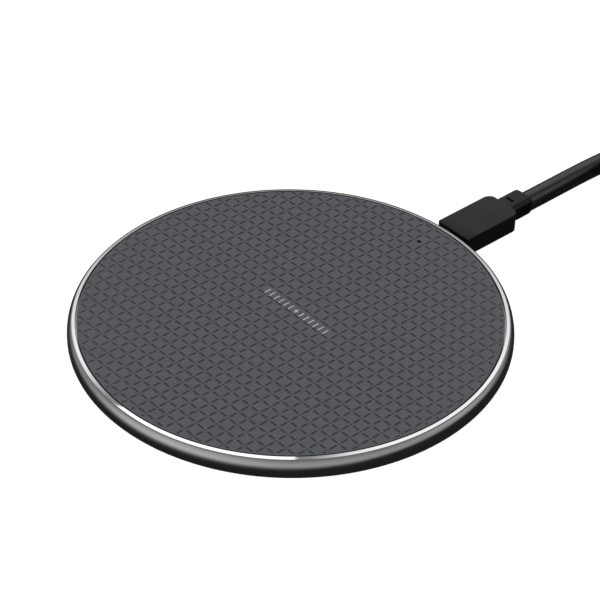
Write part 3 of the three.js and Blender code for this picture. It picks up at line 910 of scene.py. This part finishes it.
def make_tie():
    """A closed strap round all the turns, tight on them."""
    turns = [coil_point(TIE_AT + 360 * k) for k in range(TURNS)]
    inner = CORD_D / 2 + TIE_GAP
    loops = []
    for grow, lowest in ((inner, TIE_LOW_Z + TIE_T), (inner + TIE_T, TIE_LOW_Z)):
        dots = []
        for x, _, z in turns:
            dots += [(round(x + u, 4), round(max(z + v, lowest), 4))
                     for u, v in circle(0, 0, grow, 48)]
        loops.append(hull(dots))
    outline = [evenly(loop, 96) for loop in loops]
    y = [COIL_AT[1] - TIE_W / 2, COIL_AT[1] + TIE_W / 2]
    sections = []
    for inner_point, outer_point in zip(*outline):
        sections.append([
            (inner_point[0], y[0], inner_point[1]), (outer_point[0], y[0], outer_point[1]),
            (outer_point[0], y[1], outer_point[1]), (inner_point[0], y[1], inner_point[1]),
        ])
    return lofted("cord_strap", sections, 50.0, loops=True)


strap = keep(make_tie(), "cable", "tie_strap", "cord_tie")
paint(strap, STRAP)

# ---- USB-A plug on the far end ------------------------------------------------------
FAR_AT = (69.2, 3.8)
FAR_GRIP_HALF = (7.75, 3.8)
FAR_GRIP_Y = (88.0, 109.0)
FAR_GRIP_CORNER = 1.1
FAR_FRONT_R = 1.0
FAR_REAR_R, FAR_REAR_DROP = 3.0, 0.6
FAR_RIBS = {"count": 5, "from": 8, "pitch": 1.6, "width": 0.7, "depth": 0.35, "half_h": 2.4}
FAR_RELIEF = {"r": (3.7, 3.0), "y": (109.0, 117.0), "grooves": 4}
FAR_SHELL = {"half": (6.0, 2.25), "y": (76.0, 92.0), "wall": 0.3}
FAR_WINDOWS = {"x": (-2.9, 2.9), "half_w": 1.2, "y": (80, 82.4)}
FAR_TONGUE = {"half_w": 5.55, "z": (3.95, 5.65), "y": (76.6, 91.4)}
CONTACT_X = (-3.5, -1.0, 1.0, 3.5)
CONTACT_END_Y = 86


def far_section(y, half_w, half_h, radius):
    return [(FAR_AT[0] + x, y, FAR_AT[1] + z)
            for x, z in rounded_rectangle(half_w, half_h, radius)]


def make_far_grip():
    """A rounded body with grip grooves across both sides."""
    (y0, y1), (w, h), corner = FAR_GRIP_Y, FAR_GRIP_HALF, FAR_GRIP_CORNER
    sections = []
    for t in arc_steps(6):
        shrink = FAR_FRONT_R * (1.0 - math.sin(t))
        sections.append(far_section(y0 + FAR_FRONT_R * (1 - math.cos(t)), w - shrink, h - shrink,
                                    corner))
    for y in (y0 + 6, y0 + 12, y1 - 5):
        sections.append(far_section(y, w, h, corner))
    for t in arc_steps(8, 1):
        sections.append(far_section(y1 - FAR_REAR_R + FAR_REAR_R * math.sin(t),
                                    w - FAR_REAR_R * (1 - math.cos(t)),
                                    h - FAR_REAR_DROP * (1 - math.cos(t)), corner))
    body = lofted("far_plug_body", sections, PLUG_CREASES)
    deep, half_h = FAR_RIBS["depth"], FAR_RIBS["half_h"]
    for k in range(FAR_RIBS["count"]):
        y = y0 + FAR_RIBS["from"] + k * FAR_RIBS["pitch"]
        for x in (FAR_AT[0] - w, FAR_AT[0] + w):
            cut(body, block("groove", (x - deep, y, FAR_AT[1] - half_h),
                            (x + deep, y + FAR_RIBS["width"], FAR_AT[1] + half_h)))
    return body


far_grip = keep(make_far_grip(), "cable", "plug_plastic", "far_grip")
paint(far_grip, GRIP)


def make_far_relief():
    """A tapered sleeve with grooves that let it bend."""
    (r0, r1), (y0, y1) = FAR_RELIEF["r"], FAR_RELIEF["y"]
    stations = [(y0, r0)]
    pitch = (y1 - y0 - 1.6) / FAR_RELIEF["grooves"]
    for k in range(FAR_RELIEF["grooves"]):
        y = y0 + 0.9 + k * pitch
        r = r0 + (r1 - r0) * (y - y0) / (y1 - y0)
        stations += [(y, r), (y + 0.1, r - 0.55), (y + 0.55, r - 0.55), (y + 0.65, r - 0.03)]
    stations += [(y1 - 0.5, r1 + 0.02), (y1 - 0.15, r1 - 0.12), (y1, r1 - 0.5)]
    sections = [[(FAR_AT[0] + r * c, y, FAR_AT[1] + r * s) for c, s in circle(0, 0, 1, 32)]
                for y, r in stations]
    return lofted("far_relief_sleeve", sections, 30.0)


far_relief = keep(make_far_relief(), "cable", "cable_jacket", "far_relief")
paint(far_relief, SLEEVE)


def make_far_shell():
    """The hollow steel shell, with its two latch windows."""
    (w, h), (y0, y1), wall = FAR_SHELL["half"], FAR_SHELL["y"], FAR_SHELL["wall"]
    outer = lofted("far_plug_shell", [
        far_section(y0, w - 0.12, h - 0.12, 0.4), far_section(y0 + 0.12, w, h, 0.45),
        far_section(y1, w, h, 0.45)])
    hollow = lofted("hollow", [far_section(y, w - wall, h - wall, 0.2)
                               for y in (y0 - 1, y1 + 1)])
    half_w, (front, back) = FAR_WINDOWS["half_w"], FAR_WINDOWS["y"]
    windows = [block("window", (FAR_AT[0] + x - half_w, front, 0),
                     (FAR_AT[0] + x + half_w, back, 10)) for x in FAR_WINDOWS["x"]]
    cut(outer, hollow, *windows)
    return outer


far_shell = keep(make_far_shell(), "cable", "steel", "far_shell")
paint(far_shell, STEEL)


def make_far_tongue():
    """The plastic tongue with its four contacts let into its lower face."""
    half_w, (z0, z1), (y0, y1) = (FAR_TONGUE[k] for k in ("half_w", "z", "y"))
    tongue = block("far_plug_tongue", (FAR_AT[0] - half_w, y0, z0), (FAR_AT[0] + half_w, y1, z1))
    places = [FAR_AT[0] + x for x in CONTACT_X]
    cut(tongue, *(block("slot", (x - 0.6, y0 + 0.6, z0 - 1), (x + 0.6, CONTACT_END_Y, z0 + 0.3))
                  for x in places))
    contacts = [block("contact", (x - 0.5, y0 + 0.9, z0 + 0.05),
                      (x + 0.5, CONTACT_END_Y - 0.2, z0 + 0.2)) for x in places]
    return tongue, contacts


far_tongue, far_contacts = make_far_tongue()
keep(far_tongue, "cable", "contact_plastic", "far_tongue")
paint(far_tongue, DARK_PLASTIC)
for number, contact in enumerate(far_contacts):
    contact.name = f"far_contact_{number + 1}"
    keep(contact, "cable", "steel")
    paint(contact, GOLD)

# ---- CAD nodes that stay ------------------------------------------------------------
for entry in frame["record"]["subparts"]:
    node = frame["nodes"][entry["node"]]
    paint(node, NODE_LOOKS[entry["material_slot"]])

# ---- the cord's points and far contacts, listed and left unused ---------------------
[tuple(p) for p in cord_path]
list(far_contacts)

# ---- floor and light ----------------------------------------------------------------
FLOOR_HALF = 3.0         # metres
FLOOR_Z = -0.03          # just clear of the faces that stand on it
FLOOR_SHADE = 0.15
FLOOR_GLOW = 1.0


def make_floor():
    """A white floor that glows, so that shadows on it stay faint. Reflections don't show it."""
    mesh = bpy.data.meshes.new("floor")
    half, z = FLOOR_HALF, FLOOR_Z * MM
    mesh.from_pydata([(-half, -half, z), (half, -half, z), (half, half, z), (-half, half, z)],
                     [], [(0, 1, 2, 3)])
    floor = link("floor", mesh)
    look = Finish("floor_white", (FLOOR_SHADE,) * 3, 0.9, Specular_IOR_Level=0.0)
    look.shader.inputs["Emission Color"].default_value = (1.0, 1.0, 1.0, 1.0)
    look.shader.inputs["Emission Strength"].default_value = FLOOR_GLOW
    paint(floor, look.material)
    floor.visible_glossy = False


# Brightness of what the reflections show, by degrees above the horizon: beyond the object,
# and at the camera's side and behind it.
FAR_WALL = [(-90, 0.02), (0, 0.05), (5, 0.14), (8, 0.22), (16, 0.53), (22, 0.72), (29, 0.83),
            (37, 0.92), (45, 1.02), (62, 1.02), (90, 1.0)]
NEAR_WALL = [(-90, 0.02), (-35, 0.02), (-28, 0.03), (-23, 0.07), (-18, 0.2), (-12, 0.46),
             (-5, 0.74), (5, 0.75), (17, 0.68), (30, 0.60), (45, 0.50), (60, 0.38), (90, 0.38)]
# How much brighter the near walls are, by degrees from straight ahead of the camera.
NEAR_ROUND = [(-180, 1.0), (-152, 1.3), (-125, 1.5), (-98, 1.25), (-75, 0.7), (-60, 0.7),
              (60, 0.8), (90, 1.0), (125, 0.95), (180, 1.0)]
WALLS_MEET = (40.0, 60.0)    # degrees to each side of ahead between which they blend
# The ceiling light: its edges where it crosses a plane one metre up, and the width of the
# dark frame beyond each edge.
LIGHT_ACROSS = {"from": (-0.595, 0.012), "frame": (0.25, 0.13)}
LIGHT_AHEAD = {"from": (0.10, 0.609), "frame": (0.25, 0.25)}
LIGHT_LEVEL = 1.25
FRAME_DARKNESS = 0.8
# Lamps and shadows on the walls: (degrees from ahead, degrees up), size in degrees, brightness.
WALL_SPOTS = [((90, 30), (15, 12), 0.4), ((56, 50), (14, 12), -0.4),
              ((105, -14), (42, 14), -0.5), ((-100, -14), (30, 10), 0.25)]
DARKEST_WALL = 0.03
HORIZON = 0.02           # sine of the height above which the ceiling can be seen
IN_LIGHT = 0.0001        # squared distance past the light's edge that still counts as light


def make_world():
    """White light from all round. Reflections show a room instead, lit from its ceiling.

    The room is fixed to the world, and turned to suit the camera's place at rest.
    """
    world = bpy.data.worlds.new("studio")
    bpy.context.scene.world = world
    world.use_nodes = True
    nodes = Nodes(world.node_tree)
    add, maths = nodes.add, nodes.maths
    direction = add("ShaderNodeTexCoord").outputs["Generated"]

    def along(axis):
        return add("ShaderNodeVectorMath", {0: direction, 1: axis},
                   operation="DOT_PRODUCT").outputs["Value"]

    a = math.radians(CAMERA_AZIMUTH)
    across = along((math.cos(a), math.sin(a), 0.0))
    ahead = along((-math.sin(a), math.cos(a), 0.0))
    up = along((0.0, 0.0, 1.0))
    height = maths("DEGREES", maths("ARCSINE", up))
    turn = maths("DEGREES", maths("ARCTAN2", across, ahead))

    def follow(angle, span, stops):
        """Brightness at an angle, between stops at angles from -span to span."""
        ramp = add("ShaderNodeValToRGB", {"Fac": nodes.between(angle, -span, span, 0.0, 1.0)})
        elements = ramp.color_ramp.elements
        while len(elements) < len(stops):
            elements.new(0.5)
        for element, (at, level) in zip(elements, stops):
            element.position = (at + span) / (2 * span)
            element.color = (level / 2, level / 2, level / 2, 1.0)
        return maths("MULTIPLY", ramp.outputs["Color"], 2.0)

    def spot(at, size, level):
        offsets = [maths("DIVIDE", maths("SUBTRACT", angle, centre), width)
                   for angle, centre, width in zip((turn, height), at, size)]
        squares = [maths("MULTIPLY", d, d) for d in offsets]
        fall = maths("EXPONENT", maths("MULTIPLY", maths("ADD", *squares), -1.0))
        return maths("MULTIPLY", fall, level)

    def outside(value, limits):
        """Square of how far a value is outside its limits, in widths of the dark frame."""
        (low, high), (frame_low, frame_high) = limits["from"], limits["frame"]
        below = maths("DIVIDE", maths("SUBTRACT", low, value), frame_low)
        above = maths("DIVIDE", maths("SUBTRACT", value, high), frame_high)
        beyond = maths("MAXIMUM", maths("MAXIMUM", below, above), 0.0)
        return maths("MULTIPLY", beyond, beyond)

    def blend(factor, from_value, to_value):
        return add("ShaderNodeMix", {0: factor, 2: from_value, 3: to_value}).outputs[0]

    near = maths("MULTIPLY", follow(height, 90.0, NEAR_WALL), follow(turn, 180.0, NEAR_ROUND))
    is_near = nodes.between(maths("ABSOLUTE", turn), *WALLS_MEET, 0.0, 1.0)
    walls = blend(is_near, follow(height, 90.0, FAR_WALL), near)
    for at, size, level in WALL_SPOTS:
        walls = maths("ADD", walls, spot(at, size, level))
    walls = maths("MAXIMUM", walls, DARKEST_WALL)
    ceiling = maths("MAXIMUM", up, HORIZON)
    distance = maths("ADD", outside(maths("DIVIDE", across, ceiling), LIGHT_ACROSS),
                     outside(maths("DIVIDE", ahead, ceiling), LIGHT_AHEAD))
    frame_fall = maths("EXPONENT", maths("MULTIPLY", distance, -1.0))
    frame_shade = maths("SUBTRACT", 1.0, maths("MULTIPLY", frame_fall, FRAME_DARKNESS))
    walls = maths("MULTIPLY", walls, frame_shade)
    in_light = maths("MULTIPLY", maths("LESS_THAN", distance, IN_LIGHT),
                     maths("GREATER_THAN", up, HORIZON))
    room = blend(in_light, walls, LIGHT_LEVEL)
    seen = blend(add("ShaderNodeLightPath").outputs["Is Glossy Ray"], 1.0, room)
    background = world.node_tree.nodes["Background"]
    world.node_tree.links.new(seen, background.inputs["Strength"])
    background.inputs["Color"].default_value = (1.0, 1.0, 1.0, 1.0)


make_floor()
make_world()
bpy.context.scene.view_settings.view_transform = "Standard"

# ---- last update of the scene -------------------------------------------------------
bpy.context.view_layer.update()
